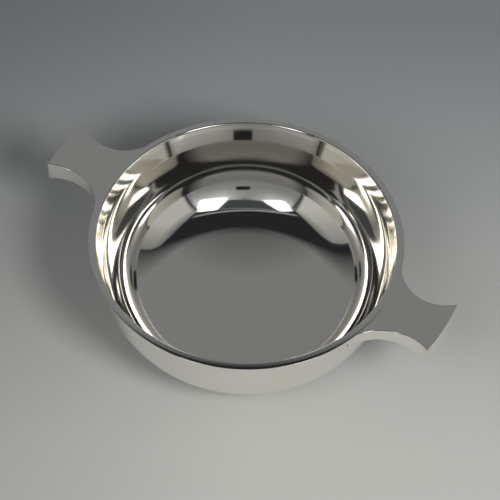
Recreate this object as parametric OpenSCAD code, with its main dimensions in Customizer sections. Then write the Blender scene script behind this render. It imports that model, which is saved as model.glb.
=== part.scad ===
// Quaich: a shallow two-handled drinking bowl in silver.
// The bowl is spun from one sheet that thickens towards its edge, with a rim wire
// soldered on that edge and a foot ring soldered under its dished base. Each lug
// is a hollow box of five sheet pieces soldered to the bowl's side. The lugs lie
// along X, the foot rests on z = 0 and the axis of the bowl is the Z axis.

/* [Bowl] */
// Outside diameter of the bowl at the top of its rim
rim_d = 92; // [76:1:130]
// Thickness of the wall at the rim, measured level
rim_w = 2.28; // [1.6:0.02:2.8]
// Thickness of the sheet below the upper wall
wall = 0.8; // [0.6:0.1:1.4]
// Slope of the inside of the upper wall, in degrees from level
wall_angle = 88.1; // [84:0.1:89.5]
// Height of the inside of the upper wall, measured down from the top of the rim
wall_h = 7.05; // [6:0.05:10]
// Inside radius of the curve below the upper wall
shoulder_r = 32; // [27:0.5:38]
// Slope at which that curve gives way to the bend, in degrees from level
shoulder_angle = 66.2; // [58:0.2:70]
// Inside radius of the bend into the floor
bend_r = 21.7; // [17:0.1:24]
// Inside radius of the dished floor
floor_r = 123.5; // [100:0.5:200]

/* [Rim] */
// Height of the rim wire's outer face
rim_h = 2; // [1.4:0.1:3.5]
// How far the rim wire's top leans outwards, in degrees
rim_lean = 7; // [3:1:12]
// How far the rim wire's inner top edge is eased, along its top and down its inner face
lip = 0.5; // [0.2:0.05:0.8]

/* [Foot] */
// Clearance under the middle of the dished base
foot_gap = 0.8; // [0.4:0.1:2]
// Outside radius of the foot ring
foot_r = 19; // [15:0.5:22]
// Width of the foot ring's section
foot_w = 2; // [1.5:0.1:4]

/* [Lugs] */
// Distance that each lug reaches out from the rim, at the middle of its end
lug_reach = 18.4; // [15:0.2:26]
// Width of each lug at its waist
lug_waist = 13.6; // [10:0.2:18]
// Radius of the hollow sides of each lug
lug_side_r = 13.8; // [11:0.2:17]
// Depth of each lug's box below the top of the rim
lug_t = 4.5; // [3.5:0.1:6]
// Thickness of the sheet that the lugs are made from
lug_sheet = 0.8; // [0.6:0.1:1.2]
// Length of each lug's end that curls up
tip_len = 17.4; // [10:0.2:18]
// Rise of the end's middle above the rim
tip_rise = 2.6; // [1:0.1:4]
// How far the sides' circles bite into the rim's circle, so that the edge isn't a feather
lug_bite = 0.3; // [0.2:0.05:0.6]

/* [Hidden] */

$fn = 96;
// Steps in a whole turn of the section's long curves
curve_fn = 720;

// Hair by which each curve stands out from its neighbour, so that they cross cleanly
lap = 0.005;
// Angle by which each curve runs on past its joint
run_on = 3;
// How far inside the curves the middle of the section reaches
core = 2;

// Centres of the section's curves, shared by the inside and the outside of the
// sheet: each is carried from the one above it, with heights measured from the rim
rim_r = rim_d / 2;
wall_low = [rim_r - rim_w - wall_h / tan(wall_angle), -wall_h];
shoulder_at = wall_low + (shoulder_r - lap) * [-sin(wall_angle), cos(wall_angle)];
bend_at = shoulder_at + (shoulder_r - bend_r + lap) * [sin(shoulder_angle), -cos(shoulder_angle)];
dish_k = floor_r - bend_r + lap;
dish_angle = asin(bend_at[0] / dish_k);
dish_at = [0, bend_at[1] + dish_k * cos(dish_angle)];
bowl_depth = floor_r - dish_at[1];

// Slope of the outside of the upper wall, straight from the rim's edge to the curve
edge_at = [rim_r, 0] - shoulder_at;
edge_turn = acos((shoulder_r + wall - lap) / norm(edge_at));
out_angle = 90 + atan2(edge_at[1], edge_at[0]) - edge_turn;

// Heights above the surface that the foot stands on
rim_z = foot_gap + wall + bowl_depth;
lug_z = rim_z - lug_t;
// Height that the foot ring is cut from, well inside the bowl
foot_blank = rim_z / 2;

// Hollow sides of a lug: centres of their circles and where they meet the rim
side_y = lug_waist / 2 + lug_side_r;
side_x = sqrt(pow(rim_r + lug_side_r - lug_bite, 2) - pow(side_y, 2));
root_y = rim_r * side_y / (rim_r + lug_side_r);

// Curl of a lug's end, seen from the side
end_r = rim_r + lug_reach;
curl_x = end_r - tip_len;
curl_r = (pow(tip_len, 2) + pow(tip_rise, 2)) / (2 * tip_rise);
// Height that the lugs are cut from, clear of the curled ends
lug_high = 2 * tip_rise;

silver = [0.80, 0.80, 0.78];

// Point at a distance r from c, in the direction a
function polar(c, r, a) = c + r * [cos(a), sin(a)];

// Radius of the upper wall's inside and of its outside, at a height z
function in_x(z) = rim_r - rim_w + (z - rim_z) / tan(wall_angle);
function out_x(z) = rim_r + (z - rim_z) / tan(out_angle);

// Outer part of a disc's slice, from the direction a1 to the direction a2
module slice_2d(c, r, a1, a2) {
  low = r - 2 * core;
  high = r * 3 / 2;
  intersection() {
    translate(c) circle(r, $fn = curve_fn);
    polygon([polar(c, low, a1), polar(c, high, a1), polar(c, high, a2), polar(c, low, a2)]);
  }
}

// Half section of the space inside the bowl, grown outwards by e, up to the point top
// on an upper wall of the given slope
module cup_2d(e, slope, top) {
  shoulder = shoulder_at + [0, rim_z];
  bend = bend_at + [0, rim_z];
  dish = dish_at + [0, rim_z];
  polygon([
    polar(dish, floor_r + e - core, -90),
    polar(bend, bend_r + e - core, dish_angle - 90),
    polar(bend, bend_r + e - core, (dish_angle + shoulder_angle) / 2 - 90),
    polar(bend, bend_r + e - core, shoulder_angle - 90),
    polar(shoulder, shoulder_r + e - lap, slope - 90),
    top,
    [0, top[1]]
  ]);
  slice_2d(dish, floor_r + e, -90, dish_angle - 90);
  slice_2d(bend, bend_r + e, dish_angle - 90 - run_on, shoulder_angle - 90 + run_on);
  slice_2d(shoulder, shoulder_r + e, shoulder_angle - 90, slope - 90 + run_on);
}

module cup_outside_2d(z) {
  cup_2d(wall, out_angle, [out_x(z), z]);
}

// The bowl's outside as a solid, which the lugs and the foot are fitted to
module bowl_envelope() {
  rotate_extrude() cup_outside_2d(rim_z);
}

module bowl() {
  color(silver)
  rotate_extrude()
  difference() {
    cup_outside_2d(rim_z - rim_h);
    cup_2d(0, wall_angle, [in_x(rim_z), rim_z]);
  }
}

// Flush with both faces of the wall
module rim_wire() {
  low = rim_z - rim_h;
  edge = [rim_r, rim_z];
  across = [-cos(rim_lean), sin(rim_lean)];
  down = [-cos(wall_angle), -sin(wall_angle)];
  inner = edge + rim_w / (cos(rim_lean) + sin(rim_lean) / tan(wall_angle)) * across;
  color(silver)
  rotate_extrude()
  polygon([
    [in_x(low), low],
    [out_x(low), low],
    edge,
    inner - lip * across,
    inner + lip * down
  ]);
}

// Seated on the underside of the dished base
module foot_ring() {
  color(silver)
  difference() {
    rotate_extrude()
    translate([foot_r - foot_w, 0]) square([foot_w, foot_blank]);
    bowl_envelope();
  }
}

// Outline of a lug seen from above, from inside the bowl's wall to its end
module lug_2d() {
  difference() {
    intersection() {
      circle(end_r);
      translate([0, -root_y]) square([end_r, 2 * root_y]);
    }
    for (s = [-1, 1])
      translate([side_x, s * side_y]) circle(lug_side_r);
  }
}

// Strip of the outline that lies along one side
module lug_side_2d(s) {
  intersection() {
    lug_2d();
    translate([side_x, s * side_y]) circle(lug_side_r + lug_sheet);
  }
}

// Strip of the outline that lies along the end, between the two sides
module lug_end_2d() {
  difference() {
    lug_2d();
    circle(end_r - lug_sheet);
    for (s = [-1, 1])
      translate([side_x, s * side_y]) circle(lug_side_r + lug_sheet);
  }
}

// Side view of all that lies below the lug's top face sunk by e, down to z = low
module lug_under_2d(e, low) {
  high = rim_z + lug_high;
  difference() {
    translate([0, low]) square([end_r, high - low]);
    translate([0, rim_z - e]) square([curl_x, lug_high + e]);
    translate([curl_x, rim_z + curl_r]) circle(curl_r + e);
  }
}

// A slab that has the side view of its children, right across the lug
module lug_across() {
  rotate([90, 0, 0]) linear_extrude(2 * end_r, center = true) children();
}

// A wall that stands on the base sheet and reaches up to the top sheet
module lug_wall() {
  difference() {
    intersection() {
      translate([0, 0, lug_z]) linear_extrude(lug_t + lug_high) children();
      lug_across() lug_under_2d(lug_sheet, lug_z + lug_sheet);
    }
    bowl_envelope();
  }
}

module lug_top() {
  difference() {
    intersection() {
      translate([0, 0, lug_z]) linear_extrude(lug_t + lug_high) lug_2d();
      lug_across() difference() {
        lug_under_2d(0, lug_z);
        lug_under_2d(lug_sheet, lug_z);
      }
    }
    bowl_envelope();
  }
}

module lug_base() {
  difference() {
    translate([0, 0, lug_z]) linear_extrude(lug_sheet) lug_2d();
    bowl_envelope();
  }
}

module lug_a_top() { color(silver) lug_top(); }
module lug_a_front() { color(silver) lug_wall() lug_side_2d(-1); }
module lug_a_back() { color(silver) lug_wall() lug_side_2d(1); }
module lug_a_end() { color(silver) lug_wall() lug_end_2d(); }
module lug_a_base() { color(silver) lug_base(); }

module lug_b_top() { color(silver) rotate([0, 0, 180]) lug_top(); }
module lug_b_front() { color(silver) rotate([0, 0, 180]) lug_wall() lug_side_2d(1); }
module lug_b_back() { color(silver) rotate([0, 0, 180]) lug_wall() lug_side_2d(-1); }
module lug_b_end() { color(silver) rotate([0, 0, 180]) lug_wall() lug_end_2d(); }
module lug_b_base() { color(silver) rotate([0, 0, 180]) lug_base(); }

bowl();
rim_wire();
foot_ring();
lug_a_top();
lug_a_front();
lug_a_back();
lug_a_end();
lug_a_base();
lug_b_top();
lug_b_front();
lug_b_back();
lug_b_end();
lug_b_base();
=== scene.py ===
import bpy
import math
import numpy as np
from mathutils import Matrix, Vector


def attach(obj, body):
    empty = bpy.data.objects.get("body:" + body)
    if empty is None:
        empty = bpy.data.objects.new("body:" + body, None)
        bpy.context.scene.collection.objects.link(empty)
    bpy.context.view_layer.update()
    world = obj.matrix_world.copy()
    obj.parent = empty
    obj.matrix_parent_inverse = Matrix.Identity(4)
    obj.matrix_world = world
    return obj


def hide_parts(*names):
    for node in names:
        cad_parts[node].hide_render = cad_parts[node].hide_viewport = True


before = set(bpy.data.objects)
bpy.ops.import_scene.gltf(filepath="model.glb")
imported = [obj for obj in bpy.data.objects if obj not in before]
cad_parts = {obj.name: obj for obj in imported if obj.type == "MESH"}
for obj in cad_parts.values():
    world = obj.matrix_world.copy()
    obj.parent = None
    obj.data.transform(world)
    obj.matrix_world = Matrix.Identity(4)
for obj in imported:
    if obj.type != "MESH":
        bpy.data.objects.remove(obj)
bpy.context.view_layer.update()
print("frame loaded, nodes:", len(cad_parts))

mm = 0.001
rad = math.radians


def roundedPath(corners, closed):
    # arcs at the corners (point, radius, steps) of a polyline, as points and left-hand normals;
    # the two ends of an open one only give its directions
    pts = [np.array(corner[0], float) for corner in corners]
    path, normals = [], []
    for i, (_, radius, steps) in enumerate(corners):
        if not closed and i in (0, len(corners) - 1):
            continue
        d1, d2 = pts[i] - pts[i - 1], pts[(i + 1) % len(pts)] - pts[i]
        d1, d2 = d1 / np.linalg.norm(d1), d2 / np.linalg.norm(d2)
        turn = math.atan2(d1[0] * d2[1] - d1[1] * d2[0], float(d1 @ d2))
        a = np.linspace(0, turn, steps + 1)
        left = np.stack([-d1[0] * np.sin(a) - d1[1] * np.cos(a), d1[0] * np.cos(a) - d1[1] * np.sin(a)], -1)
        start = pts[i] - d1 * radius * math.tan(abs(turn) / 2)
        path.append(start + math.copysign(radius, turn) * (left[0] - left))
        normals.append(left)
    return np.concatenate(path), np.concatenate(normals)


def meshPiece(name, verts, faceGroups, normals=None):
    # arrays of quads and of triangles into a mesh; the sign of the enclosed volume turns the faces outwards
    volume = 0.0
    for faces in faceGroups:
        for i in range(1, faces.shape[1] - 1):
            fan = np.cross(verts[faces[:, i]], verts[faces[:, i + 1]])
            volume += np.einsum("ij,ij->i", verts[faces[:, 0]], fan).sum()
    outward = [faces if volume > 0 else faces[:, ::-1] for faces in faceGroups]
    me = bpy.data.meshes.new(name)
    me.from_pydata((verts * mm).tolist(), [], [face for faces in outward for face in faces.tolist()])
    me.validate()
    me.shade_smooth()
    if normals is not None:
        me.normals_split_custom_set_from_vertices(normals.tolist())
    else:
        me.set_sharp_from_angle(angle=rad(34))  # the sheets' corners stay crisp
    ob = bpy.data.objects.new(name, me)
    bpy.context.scene.collection.objects.link(ob)
    return ob


def lathe(name, pts, nrm, closed, segments):
    # surface of revolution: (r cos f, r sin f, z), with r and z along the section and f round the axis;
    # a section that isn't closed starts and ends on the axis
    f = np.linspace(0, 2 * math.pi, segments, endpoint=False)

    def spun(v):
        return np.stack([v[:, :1] * np.cos(f), v[:, :1] * np.sin(f), np.repeat(v[:, 1:], segments, 1)], -1)

    ring = slice(None) if closed else slice(1, -1)
    verts, norms = spun(pts[ring]).reshape(-1, 3), spun(nrm[ring]).reshape(-1, 3)
    rows, last = len(verts) // segments, len(verts) - segments
    i, j = np.meshgrid(np.arange(rows if closed else rows - 1), np.arange(segments), indexing="ij")
    here, up, on = i * segments, (i + 1) % rows * segments, (j + 1) % segments
    groups = [np.stack([here + j, up + j, up + on, here + on], -1).reshape(-1, 4)]
    if not closed:
        k = np.arange(segments)
        nextK = (k + 1) % segments
        pole = np.full(segments, len(verts))
        groups += [np.stack([pole, k, nextK], -1), np.stack([pole + 1, last + nextK, last + k], -1)]
        verts = np.vstack([verts, [0, 0, pts[0, 1]], [0, 0, pts[-1, 1]]])
        norms = np.vstack([norms, [nrm[0, 0], 0, nrm[0, 1]], [nrm[-1, 0], 0, nrm[-1, 1]]])
    return meshPiece(name, verts, groups, norms)


# bowl, in mm and degrees as in the part's source: upper wall, shoulder, bend and dished floor
bowlSet = {
    "rimR": 46.0, "rimW": 2.28, "wall": 0.8, "wallAngle": 88.1, "wallH": 7.05, "wireH": 2.0,
    "shoulderR": 32.0, "shoulderAngle": 66.2, "bendR": 21.7, "floorR": 123.5, "lift": 0.8,
    "lap": 0.005,  # overlap of neighbouring curves
    "seam": 0.0006, "seamSteps": 2,  # easing of soldered edges
    "segments": 300, "steps": (10, 40, 56, 30),
}


def turned(slope):  # outward normal of a slope in the section
    return np.stack([np.sin(np.radians(slope)), -np.cos(np.radians(slope))], -1)


def arcCentres(s):
    # centres of the shoulder, bend and floor, each carried from the one above, with heights from the rim
    wallLow = np.array([s["rimR"] - s["rimW"] - s["wallH"] / math.tan(rad(s["wallAngle"])), -s["wallH"]])
    shoulder = wallLow - (s["shoulderR"] - s["lap"]) * turned(s["wallAngle"])
    bend = shoulder + (s["shoulderR"] - s["bendR"] + s["lap"]) * turned(s["shoulderAngle"])
    apart = s["floorR"] - s["bendR"] + s["lap"]
    angle = math.degrees(math.asin(bend[0] / apart))
    return shoulder, bend, np.array([0, bend[1] + apart * math.cos(rad(angle))]), angle


shoulderAt, bendAt, dishAt, dishAngle = arcCentres(bowlSet)
rimR = bowlSet["rimR"]
rimZ = bowlSet["lift"] + bowlSet["wall"] + bowlSet["floorR"] - dishAt[1]  # over the table
wireZ = rimZ - bowlSet["wireH"]
toEdge = np.array([rimR, 0]) - shoulderAt
edgeTurn = math.acos((bowlSet["shoulderR"] + bowlSet["wall"] - bowlSet["lap"]) / np.hypot(*toEdge))
outAngle = 90 + math.degrees(math.atan2(toEdge[1], toEdge[0]) - edgeTurn)


def inX(z):  # radius of the upper wall's inside
    return rimR - bowlSet["rimW"] + (z - rimZ) / math.tan(rad(bowlSet["wallAngle"]))


def outX(z):  # and of its outside
    return rimR + (z - rimZ) / math.tan(rad(outAngle))


def cupPath(e, slope, topX, topZ):
    # section grown outwards by e, from the top of the wall down to the axis, as points and outward normals:
    # a straight wall, then arcs (c + r sin s, c - r cos s) with s the slope
    wallSteps, *arcSteps = bowlSet["steps"]
    wallFoot = shoulderAt + [0, rimZ] + (bowlSet["shoulderR"] + e) * turned(slope)
    pts = [np.linspace([topX, topZ], wallFoot, wallSteps, endpoint=False)]
    slopes = [np.full(wallSteps, slope)]
    arcs = ((shoulderAt, bowlSet["shoulderR"], slope, bowlSet["shoulderAngle"]),
            (bendAt, bowlSet["bendR"], bowlSet["shoulderAngle"], dishAngle),
            (dishAt, bowlSet["floorR"], dishAngle, 0.0))
    for (at, r, start, end), count in zip(arcs, arcSteps):
        slopes.append(np.linspace(start, end, count, endpoint=end == 0.0))
        pts.append(at + [0, rimZ] + (r + e) * turned(slopes[-1]))
    return np.concatenate(pts), turned(np.concatenate(slopes))


def seamCorner(x, z):  # corner of a soldered edge, hardly eased
    return [x, z], bowlSet["seam"], bowlSet["seamSteps"]


def makeBowl():
    inP, inN = cupPath(0, bowlSet["wallAngle"], inX(wireZ), wireZ)
    outP, outN = cupPath(bowlSet["wall"], outAngle, outX(wireZ), wireZ)
    cap = [(inP[1], 0, 0), seamCorner(*inP[0]), seamCorner(*outP[0]), (outP[1], 0, 0)]
    capP, capN = roundedPath(cap, False)
    pts = np.vstack([inP[:0:-1], capP, outP[1:]])
    nrm = np.vstack([-inN[:0:-1], capN, outN[1:]])
    return lathe("bowlSilver", pts, nrm, False, bowlSet["segments"])


# rim wire: flush with both faces of the wall, its top a slight crown that leans outwards
rimSet = {"outTilt": 13.5, "inTilt": 7.0, "crownAt": 0.85, "crownR": 8.5, "crownSteps": 10,
          "lip": 0.6, "lipSteps": 14, "outerEdge": 0.12, "outerSteps": 5}


def makeRimWire():
    s = rimSet
    outTilt, inTilt = rad(s["outTilt"]), rad(s["inTilt"])
    outer = np.array([rimR, rimZ])
    crown = outer + s["crownAt"] * np.array([-math.cos(outTilt), math.sin(outTilt)])
    lean = math.cos(inTilt) + math.sin(inTilt) / math.tan(rad(bowlSet["wallAngle"]))
    toWall = (crown[0] - inX(crown[1])) / lean  # along the top, to the line of the inner face
    inner = crown + toWall * np.array([-math.cos(inTilt), math.sin(inTilt)])
    corners = [seamCorner(inX(wireZ), wireZ),
               (inner, s["lip"], s["lipSteps"]),
               (crown, s["crownR"], s["crownSteps"]),
               (outer, s["outerEdge"], s["outerSteps"]),
               seamCorner(outX(wireZ), wireZ)]
    return lathe("rimWireSilver", *roundedPath(corners, True), True, bowlSet["segments"])


# foot ring: a plain section between the table and the dished base
footSet = {"r": 19.0, "w": 2.0, "edge": 0.3, "edgeSteps": 6, "segments": 240}


def underZ(r):  # underside of the dished base
    return rimZ + dishAt[1] - math.sqrt((bowlSet["floorR"] + bowlSet["wall"]) ** 2 - r ** 2)


def makeFootRing():
    s = footSet
    inner, outer = s["r"] - s["w"], s["r"]
    corners = [([inner, 0], s["edge"], s["edgeSteps"]), seamCorner(inner, underZ(inner)),
               seamCorner(outer, underZ(outer)), ([outer, 0], s["edge"], s["edgeSteps"])]
    return lathe("footRingSilver", *roundedPath(corners, True), True, s["segments"])


bowl, rimWire, footRing = makeBowl(), makeRimWire(), makeFootRing()
print("bowl, rim wire and foot ring made, rim at", round(rimZ, 3))

# lugs: each sheet is a bent box, a grid of three parameters whose outside is kept
lugSet = {
    "reach": 18.4, "waist": 13.6, "sideR": 13.8, "t": 4.5, "sheet": 0.8, "tipLen": 17.4, "tipRise": 2.6,
    "bite": 0.3, "edge": 0.22, "lowerEdge": 0.35,
    "seat": 0.1, "rootSeat": 0.02,  # how far the top and the side walls sink into the bowl's face
    "flare": 2.0,  # how much wider than the waist the mean width is
    "squareRoot": 0.02,  # share of the length, at the root, whose sides aren't eased
    "bareRoot": 0.004,  # share of the length, at the root, without crowded rows
    "along": 60, "across": 30, "strip": 61, "endStrip": 41, "rows": 9,
}
sheet = lugSet["sheet"]
lugZ = rimZ - lugSet["t"]
wallZ = lugZ + sheet
endR = rimR + lugSet["reach"]
sideY = lugSet["waist"] / 2 + lugSet["sideR"]
sideX = math.sqrt((rimR + lugSet["sideR"] - lugSet["bite"]) ** 2 - sideY ** 2)
sideD, sideA = math.hypot(sideX, sideY), math.atan2(sideY, sideX)
curlX = endR - lugSet["tipLen"]
curlR = (lugSet["tipLen"] ** 2 + lugSet["tipRise"] ** 2) / (2 * lugSet["tipRise"])


def boxSkin(name, shape, av, bv, cv, turn):
    # shape(a, b, c) gives x, y, z; the six sides of the grid share their edges
    ident = np.arange(len(av) * len(bv) * len(cv)).reshape(len(av), len(bv), len(cv))

    def side(grid):
        return np.stack([grid[:-1, :-1], grid[1:, :-1], grid[1:, 1:], grid[:-1, 1:]], -1).reshape(-1, 4)

    faces = np.concatenate([side(ident[0].T), side(ident[-1]), side(ident[:, 0]), side(ident[:, -1].T),
                            side(ident[:, :, 0].T), side(ident[:, :, -1])])
    used, faces = np.unique(faces, return_inverse=True)
    x, y, z = shape(*(grid.ravel()[used] for grid in np.meshgrid(av, bv, cv, indexing="ij")))
    if turn:
        x, y = -x, -y
    return meshPiece(name, np.stack([x, y, z], -1), [faces.reshape(-1, 4)])


def lugTopZ(x, e):  # top sunk by e: level with the rim, then an arc that curls up
    d = np.clip(x - curlX, 0, None)
    return rimZ + curlR - np.sqrt((curlR + e) ** 2 - d ** 2)


def halfAngle(rho, r):  # where a circle round the bowl meets a side's circle
    cosine = (rho ** 2 + sideD ** 2 - r ** 2) / (2 * rho * sideD)
    return sideA - np.arccos(np.clip(cosine, -1, 1))


def sideAngle(rho, r):  # the same, seen from the middle of the side's circle
    return np.arccos(np.clip((sideD ** 2 + r ** 2 - rho ** 2) / (2 * sideD * r), -1, 1))


def graded(edge, span, count):
    # parameters from 0 to 1 that crowd near both ends, for the rounded edges
    near = np.array([0, 0.06, 0.2, 0.42, 0.7, 1.0, 1.3]) * edge / span
    return np.unique(np.concatenate([near, np.linspace(near[-1], 1 - near[-1], count), 1 - near]))


def edgeDrop(d, r):  # quarter round at a distance d from the edge
    return r - np.sqrt(np.clip(r ** 2 - np.clip(r - d, 0, r) ** 2, 0, None))


def platePlan(a, t, rootR, e):
    # a from the root to the end and t from side to side, as x, y and how far the rounded edge falls
    rho = rootR + (endR - rootR) * a
    ang = halfAngle(rho, lugSet["sideR"]) * (2 * t - 1)
    x, y = rho * np.cos(ang), rho * np.sin(ang)
    toSide = np.abs(np.hypot(x - sideX, np.abs(y) - sideY) - lugSet["sideR"])
    drop = edgeDrop(toSide, e) * (a > lugSet["squareRoot"]) + edgeDrop(endR - rho, e)
    return x, y, np.clip(drop, 0, e)


def topShape(a, t, c):  # c from the sheet's curled underside to its top, whose edges are rounded
    x, y, drop = platePlan(a, t, outX(rimZ - sheet + c * sheet) - lugSet["seat"], lugSet["edge"])
    low = lugTopZ(x, sheet)
    return x, y, low + (lugTopZ(x, 0) - drop - low) * c


def baseShape(a, t, c):  # flat, c from its underside, whose edges are rounded, to its top
    x, y, drop = platePlan(a, t, outX(lugZ + c * sheet), lugSet["lowerEdge"])
    return x, y, lugZ + drop + (sheet - drop) * c


def sideShape(sign):
    # a along the side's circle from root to end, t through the sheet, c from the base up to the top sheet
    def shape(a, t, c):
        r = lugSet["sideR"] + sheet * t
        root = outX(wallZ + c * (lugSet["t"] - 2 * sheet))
        start, end = sideAngle(root, r), sideAngle(endR, r)
        ang = sideA + math.pi + start + (end - start) * a
        x, y = sideX + r * np.cos(ang), sideY + r * np.sin(ang)
        bent = np.where(a == 0, (root - lugSet["rootSeat"]) / np.hypot(x, y), 1.0)  # root, onto the wall
        x, y = x * bent, y * bent
        return x, sign * y, wallZ + (lugTopZ(x, sheet) - wallZ) * c
    return shape


def endShape(a, t, c):  # a through the sheet, t along the end's circle, c from the base up to the top sheet
    rho = endR - sheet * (1 - a)
    ang = halfAngle(rho, lugSet["sideR"] + sheet) * (2 * t - 1)
    x, y = rho * np.cos(ang), rho * np.sin(ang)
    return x, y, wallZ + (lugTopZ(x, sheet) - wallZ) * c


def makeLug(tag, turn):
    along = graded(lugSet["edge"], lugSet["reach"], lugSet["along"])
    along = along[(along == 0) | (along > lugSet["bareRoot"])]
    across = graded(lugSet["edge"], lugSet["waist"] + lugSet["flare"], lugSet["across"])
    ends = np.array([0.0, 1.0])
    strip, endStrip, rows = (np.linspace(0, 1, lugSet[key]) for key in ("strip", "endStrip", "rows"))
    front = 1 if turn else -1
    return {
        "top": boxSkin("lug" + tag + "TopSilver", topShape, along, across, ends, turn),
        "base": boxSkin("lug" + tag + "BaseSilver", baseShape, along, across, ends, turn),
        "front": boxSkin("lug" + tag + "FrontSilver", sideShape(front), strip, ends, rows, turn),
        "back": boxSkin("lug" + tag + "BackSilver", sideShape(-front), strip, ends, rows, turn),
        "end": boxSkin("lug" + tag + "EndSilver", endShape, ends, endStrip, rows, turn),
    }


lugs = {"a": makeLug("A", False), "b": makeLug("B", True)}
print("lugs made")


# shader maths: a socket with Python's operators
class Wire:
    def __init__(self, tree, out=None):
        self.tree, self.out = tree, out

    def add(self, kind, settings=None, inputs=None, out=0):  # any node: type, settings first, then sockets
        node = self.tree.nodes.new(kind)
        for key, value in (settings or {}).items():
            setattr(node, key, value)
        for key, value in (inputs or {}).items():
            if isinstance(value, Wire):
                self.tree.links.new(value.out, node.inputs[key])
            else:
                node.inputs[key].default_value = value
        return Wire(self.tree, node.outputs[out] if len(node.outputs) else None)

    def math(self, op, *values, clamp=False):
        return self.add("ShaderNodeMath", {"operation": op, "use_clamp": clamp}, dict(enumerate(values)))

    def __add__(self, o):
        return self.math("ADD", self, o)

    def __sub__(self, o):
        return self.math("SUBTRACT", self, o)

    def __rsub__(self, o):
        return self.math("SUBTRACT", o, self)

    def __mul__(self, o):
        return self.math("MULTIPLY", self, o)

    def __truediv__(self, o):
        return self.math("DIVIDE", self, o)

    __radd__, __rmul__ = __add__, __mul__

    def __abs__(self):
        return self.math("ABSOLUTE", self)

    def length(self, o):  # of two values at right angles
        return self.math("SQRT", self * self + o * o)

    def vector(self, op, *values):
        return self.add("ShaderNodeVectorMath", {"operation": op}, dict(enumerate(values)))

    def dot(self, v):
        inputs = {0: self, 1: tuple(v)}
        return self.add("ShaderNodeVectorMath", {"operation": "DOT_PRODUCT"}, inputs, out="Value")

    def ramp(self, lo, hi):  # 0 at lo, 1 at hi, straight between
        return self.math("MULTIPLY_ADD", self, 1 / (hi - lo), -lo / (hi - lo), clamp=True)

    def blend(self, under, over, how="MIX"):  # colours, mixed by this mask
        under, over = [v if isinstance(v, Wire) else (*v, 1) for v in (under, over)]
        inputs = {0: self, 6: under, 7: over}
        return self.add("ShaderNodeMix", {"data_type": "RGBA", "blend_type": how}, inputs, out=2)


def emptyTree(owner):
    owner.use_nodes = True
    owner.node_tree.nodes.clear()
    return Wire(owner.node_tree)


# camera at the photograph's angle, in the part's frame, in mm and degrees
camSet = {"azimuth": 29.70, "elevation": 52.82, "roll": 1.644, "distance": 493.38,
          "slideX": 1.007, "slideY": -3.777, "lens": 122.075, "sensor": 36.0, "clip": (0.01, 20)}
az, el, roll = (rad(camSet[key]) for key in ("azimuth", "elevation", "roll"))
level = Vector((math.cos(az), math.sin(az), 0))  # to the right in the picture
away = Vector((-math.sin(az), math.cos(az), 0))  # from the camera, along the table
overhead = Vector((0, 0, 1))


def makeCamera():
    look = away * math.cos(el) - overhead * math.sin(el)
    upright = away * math.sin(el) + overhead * math.cos(el)
    camX = level * math.cos(roll) + upright * math.sin(roll)
    camY = upright * math.cos(roll) - level * math.sin(roll)
    spot = overhead * rimZ - look * camSet["distance"] + camX * camSet["slideX"] + camY * camSet["slideY"]
    data = bpy.data.cameras.new("photoCamera")
    data.lens, data.sensor_width = camSet["lens"], camSet["sensor"]
    data.clip_start, data.clip_end = camSet["clip"]
    cam = bpy.data.objects.new("photoCamera", data)
    cam.matrix_world = Matrix((camX, camY, -look)).transposed().to_4x4()
    cam.matrix_world.translation = spot * mm
    bpy.context.scene.collection.objects.link(cam)
    bpy.context.scene.camera = cam


makeCamera()
print("camera set")

# silver: a bright polish with faint hairlines, a breath of tarnish, and a bloom inside the upper wall
silverSet = {
    "light": (0.915, 0.897, 0.853), "dull": (0.895, 0.87, 0.815), "bloom": (0.805, 0.775, 0.72),
    "rough": 0.055, "roughMore": 0.03,
    "cloudScale": 55.0, "tarnish": (0.45, 0.8), "haze": (0.3, 0.8),
    "hairTurn": (0.2, 0.1, 0.6), "hairScale": (300, 4200, 900), "hairs": (0.5, 0.95),
    "insideR": 0.0395, "insideSlope": 0.159, "insideSoft": 0.0001,  # m, a cone between the wall's two faces
    "bloomLow": (0.019, 0.025), "bloomHigh": (0.0335, 0.0337),  # heights over which it starts and ends
}


def silverMaterial():
    s = silverSet
    mat = bpy.data.materials.new("polishedSilver")
    w = emptyTree(mat)
    place = w.add("ShaderNodeTexCoord", out="Object")
    cloud = w.add("ShaderNodeTexNoise", {}, {"Vector": place, "Scale": s["cloudScale"], "Detail": 3.0})
    combed = {"Vector": place, "Rotation": s["hairTurn"], "Scale": s["hairScale"]}
    hairPlace = w.add("ShaderNodeMapping", {}, combed)
    hair = w.add("ShaderNodeTexNoise", {}, {"Vector": hairPlace, "Scale": 1.0, "Detail": 2.0})
    colour = cloud.ramp(*s["tarnish"]).blend(s["light"], s["dull"])
    x, y, z = place.dot((1, 0, 0)), place.dot((0, 1, 0)), place.dot((0, 0, 1))
    inside = (z * s["insideSlope"] + s["insideR"] - x.length(y)).ramp(0, s["insideSoft"])
    bloom = inside * z.ramp(*s["bloomLow"]) * (1 - z.ramp(*s["bloomHigh"]))
    colour = bloom.blend(colour, s["bloom"])
    rough = s["rough"] + s["roughMore"] * hair.ramp(*s["hairs"]) * cloud.ramp(*s["haze"])
    shine = {"Base Color": colour, "Metallic": 1.0, "Roughness": rough}
    w.add("ShaderNodeOutputMaterial", {}, {"Surface": w.add("ShaderNodeBsdfPrincipled", {}, shine)})
    return mat


silver = silverMaterial()
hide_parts("bowl")
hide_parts("rim_wire")
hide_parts("foot_ring")
pieces = [bowl, rimWire, footRing]
for key, sheets in lugs.items():
    for sheetName, ob in sheets.items():
        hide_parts("lug_%s_%s" % (key, sheetName))
        pieces.append(ob)
for ob in pieces:
    ob.data.materials.append(silver)
    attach(ob, "root")
print("silver on", len(pieces), "pieces")

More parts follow.
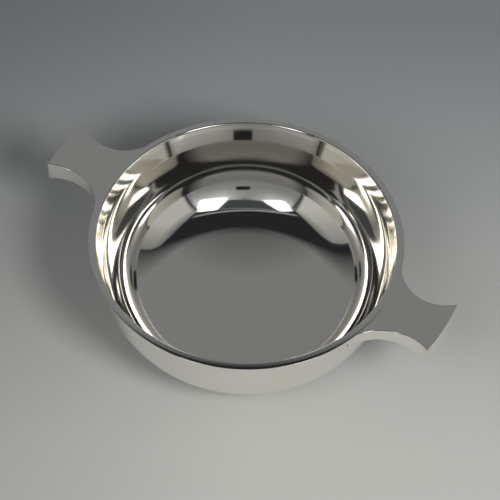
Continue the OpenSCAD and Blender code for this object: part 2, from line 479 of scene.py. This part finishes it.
# table: a pale board whose colour carries painted light and shade, in m: lighter at the front as a painted
# pool of lamplight, cooler and darker at the back and dimmer to the left as painted shade where the lamps'
# light falls off
tableSet = {"half": 2.5, "rough": 0.7, "front": (0.58, 0.585, 0.565), "back": (0.305, 0.332, 0.354),
            "depth": (-0.05, 0.125), "leftPaintedShade": 0.80, "leftward": (0.0, -0.085)}


def makeTable():
    s = tableSet
    h = s["half"]
    me = bpy.data.meshes.new("tableTop")
    me.from_pydata([(-h, -h, 0), (h, -h, 0), (h, h, 0), (-h, h, 0)], [], [(0, 1, 2, 3)])
    ob = bpy.data.objects.new("tableTop", me)
    bpy.context.scene.collection.objects.link(ob)
    mat = bpy.data.materials.new("paleBoardPaintedFalloff")
    w = emptyTree(mat)
    place = w.add("ShaderNodeTexCoord", out="Object")
    # painted light and shade: lighter at the front and darker at the back, for the lamps' falloff
    colour = place.dot(away).ramp(*s["depth"]).blend(s["front"], s["back"])
    # painted shade: the board is dimmed to the left
    colour = place.dot(level).ramp(*s["leftward"]).blend(colour, (s["leftPaintedShade"],) * 3, "MULTIPLY")
    board = {"Base Color": colour, "Roughness": s["rough"]}
    w.add("ShaderNodeOutputMaterial", {}, {"Surface": w.add("ShaderNodeBsdfPrincipled", {}, board)})
    me.materials.append(mat)


def tent(v, tint=(1, 1, 1)):  # display level 0 to 255 as a linear colour of the tent, which is a little cool
    k = ((v / 255 + 0.055) / 1.055) ** 2.4
    return tuple(k * t * cool for t, cool in zip(tint, (1.041, 1.060, 1.126)))


# studio: a light tent over the table, in mm from the middle of the rim; its panels' corners are seen from
# the eye, as (angle clockwise from the back, angle down from overhead)
warm = (1.0, 0.985, 0.88)
patchSoft = [0.03, 0.08, 0.4, 0.4, 0.03]
studioSet = {
    "half": 300.0, "roof": 419.0, "eye": (0, 34, -23), "lowest": 0.02,
    "panelSoft": 0.03, "gapSoft": 0.025, "seamSoft": 0.012,
    "topColour": tent(36),
    "back": {"reach": (0.0, 0.46), "turn": (0.10, 0.53), "colour": tent(120, (1, 1, 0.96))},
    "left": {"corners": [(269.5, 97), (268.8, 62), (267, 47), (262, 42), (255, 40), (238.5, 41), (224, 45.5),
                         (219.5, 97)],
             "rear": tent(108, warm), "front": tent(180, warm), "fade": (0.15, -0.55)},
    "right": {"corners": [(81.5, 97), (81.8, 50), (84, 43), (90, 39.6), (98, 38), (116, 38.6), (130.5, 42),
                          (134, 97)],
              "rear": tent(118, warm), "front": tent(174, warm), "fade": (0.12, -0.25)},
    "wingTop": {"colour": tent(104, warm), "height": (0.785, 0.65)},
    "front": {"corners": [(222, 43), (213, 34), (146, 33.5), (131, 41), (134, 97), (219.5, 97)],
              "colour": tent(121, (1, 1, 0.95))},
    "line": {"depth": -0.504, "tilt": 0.0915, "half": 0.03, "core": 0.4, "reach": (0.603, 0.67),
             "colour": tent(150)},
    "gap": {"corners": [(144.7, 35.2), (163.7, 45.2), (192.6, 44.1), (213.1, 35.6)],
            "colour": tent(66, (0.90, 1.0, 1.0))},
    "slot": {"corners": [(181.6, 60.0), (171.1, 60.0), (171.1, 65.7), (181.6, 65.7)], "colour": tent(30)},
    "halo": [{"corners": [(147, 34), (131, 41.5), (136, 66), (176, 64), (174, 45)], "soft": patchSoft},
             {"corners": [(213, 35.5), (222, 43), (217, 61), (184, 60), (184, 44)], "soft": patchSoft}],
    "haloLevel": 0.56,
    "hot": [{"corners": [(147.5, 34.5), (133.5, 41.5), (140, 53), (161, 46)],
             "soft": [0.03, 0.06, 0.18, 0.04]},
            {"corners": [(213, 36), (220.8, 43), (211.5, 50.5), (196.5, 43.2)],
             "soft": [0.03, 0.06, 0.14, 0.04]}],
    "hotLevel": 5.0,
    "seams": [[(219.3, 45), (221.1, 45), (220.4, 76), (218.7, 76)],
              [(132.2, 44), (134.0, 44), (135.0, 76), (133.4, 76)],
              [(271.0, 38), (268.9, 45), (269.2, 92), (270.4, 92)],
              [(80.0, 38), (81.6, 45), (81.4, 92), (80.4, 92)]],
    "seamColour": tent(44),
}


def aim(azimuth, zenith):  # unit vector from the two angles
    a, z = rad(azimuth), rad(zenith)
    return level * (math.sin(z) * math.sin(a)) + away * (math.sin(z) * math.cos(a)) + overhead * math.cos(z)


def panelMask(way, corners, soft):  # inside of a panel whose edges are great circles, soft at each edge
    dirs = [aim(*corner) for corner in corners]
    middle = sum(dirs, Vector())
    mask = None
    for i, d in enumerate(dirs):
        width = soft[i] if isinstance(soft, list) else soft
        normal = d.cross(dirs[(i + 1) % len(dirs)]).normalized()
        if normal.dot(middle) < 0:
            normal = -normal
        side = way.dot(normal).ramp(-width / 2, width / 2)
        mask = side if mask is None else mask * side
    return mask


def tentMaterial():
    # each panel is painted over the ones before it, by the direction in which the eye sees it
    s = studioSet
    mat = bpy.data.materials.new("tentCloth")
    mat.cycles.emission_sampling = "NONE"
    w = emptyTree(mat)
    eye = level * s["eye"][0] + away * s["eye"][1] + overhead * (rimZ + s["eye"][2])
    fromEye = w.vector("SUBTRACT", w.add("ShaderNodeTexCoord", out="Object"), tuple(eye * mm))
    way = w.vector("NORMALIZE", fromEye)
    rise, back = way.dot(overhead), way.dot(away)
    height = w.math("MAXIMUM", rise, s["lowest"])
    depth, across = back / height, way.dot(level) / height
    reach = depth.length(across)
    behind = reach.ramp(*s["back"]["reach"]) * (depth / (reach + 0.001)).ramp(*s["back"]["turn"])
    colour = behind.blend(s["topColour"], s["back"]["colour"])
    for wing in (s["left"], s["right"]):
        shade = back.ramp(*wing["fade"]).blend(wing["rear"], wing["front"])
        shade = rise.ramp(*s["wingTop"]["height"]).blend(s["wingTop"]["colour"], shade)
        colour = panelMask(way, wing["corners"], s["panelSoft"]).blend(colour, shade)
    colour = panelMask(way, s["front"]["corners"], s["panelSoft"]).blend(colour, s["front"]["colour"])
    for patch in s["halo"]:
        near = panelMask(way, patch["corners"], patch["soft"])
        colour = (near * near).blend(colour, (s["haloLevel"],) * 3)
    colour = panelMask(way, s["gap"]["corners"], s["gapSoft"]).blend(colour, s["gap"]["colour"])
    for patch in s["hot"]:
        colour = panelMask(way, patch["corners"], patch["soft"]).blend(colour, (s["hotLevel"],) * 3)
    off = abs(depth - s["line"]["tilt"] * across - s["line"]["depth"]) / s["line"]["half"]
    line = (1 - off.ramp(s["line"]["core"], 1.0)) * (1 - abs(across).ramp(*s["line"]["reach"]))
    colour = line.blend(colour, s["line"]["colour"])
    colour = panelMask(way, s["slot"]["corners"], s["seamSoft"]).blend(colour, s["slot"]["colour"])
    for seam in s["seams"]:
        colour = panelMask(way, seam, s["seamSoft"]).blend(colour, s["seamColour"])
    glow = w.add("ShaderNodeEmission", {}, {"Color": colour, "Strength": 1.0})
    w.add("ShaderNodeOutputMaterial", {}, {"Surface": glow})
    return mat


def makeTent():
    half, top = studioSet["half"] * mm, overhead * ((rimZ + studioSet["roof"]) * mm)
    plan = [level * (i * half) + away * (j * half) for i, j in ((-1, -1), (1, -1), (1, 1), (-1, 1))]
    verts = [tuple(v) for v in plan] + [tuple(v + top) for v in plan]
    me = bpy.data.meshes.new("softTent")
    me.from_pydata(verts, [], [(0, 1, 5, 4), (1, 2, 6, 5), (2, 3, 7, 6), (3, 0, 4, 7), (4, 5, 6, 7)])
    me.materials.append(tentMaterial())
    ob = bpy.data.objects.new("softTent", me)
    bpy.context.scene.collection.objects.link(ob)
    ob.visible_camera = ob.visible_diffuse = ob.visible_shadow = False  # only the silver sees it


# room beyond the tent: pale to the eye, dim as a light
roomSet = {"pale": (0.60, 0.605, 0.61), "dim": (0.16, 0.162, 0.165)}


def makeRoom():
    world = bpy.data.worlds.new("greyRoom")
    bpy.context.scene.world = world
    w = emptyTree(world)
    camera = w.add("ShaderNodeLightPath", out="Is Camera Ray")
    glossy = w.add("ShaderNodeLightPath", out="Is Glossy Ray")
    through = w.add("ShaderNodeLightPath", out="Is Transmission Ray")
    colour = (camera + glossy + through).ramp(0, 1).blend(roomSet["dim"], roomSet["pale"])
    back = w.add("ShaderNodeBackground", {}, {"Color": colour, "Strength": 1.0})
    w.add("ShaderNodeOutputWorld", {}, {"Surface": back})


# lamps that light the board softly: size and distance in m, power in W, angles as the tent's
lampSet = {
    "key": {"size": 0.18, "power": 1.9, "at": (143, 43), "far": 0.6, "colour": (1.0, 0.985, 0.95)},
    "fill": {"size": 0.3, "power": 0.85, "at": (210, 43), "far": 0.6, "colour": (1.0, 0.99, 0.96)},
}


def makeLamps():
    for name, s in lampSet.items():
        data = bpy.data.lights.new(name + "Lamp", "AREA")
        data.shape, data.size = "DISK", s["size"]
        data.energy, data.color = s["power"], s["colour"]
        ob = bpy.data.objects.new(name + "Lamp", data)
        toLamp = aim(*s["at"])
        ob.location = toLamp * s["far"]
        ob.rotation_euler = toLamp.to_track_quat("Z", "Y").to_euler()
        ob.visible_glossy = False  # the silver mirrors the tent alone
        bpy.context.scene.collection.objects.link(ob)


makeTable()
makeTent()
makeRoom()
makeLamps()
mirrorings = 16  # the bowl mirrors itself many times over
bpy.context.scene.view_settings.view_transform = "Standard"
bpy.context.scene.cycles.max_bounces = mirrorings
bpy.context.scene.cycles.glossy_bounces = mirrorings
print("table and studio set")
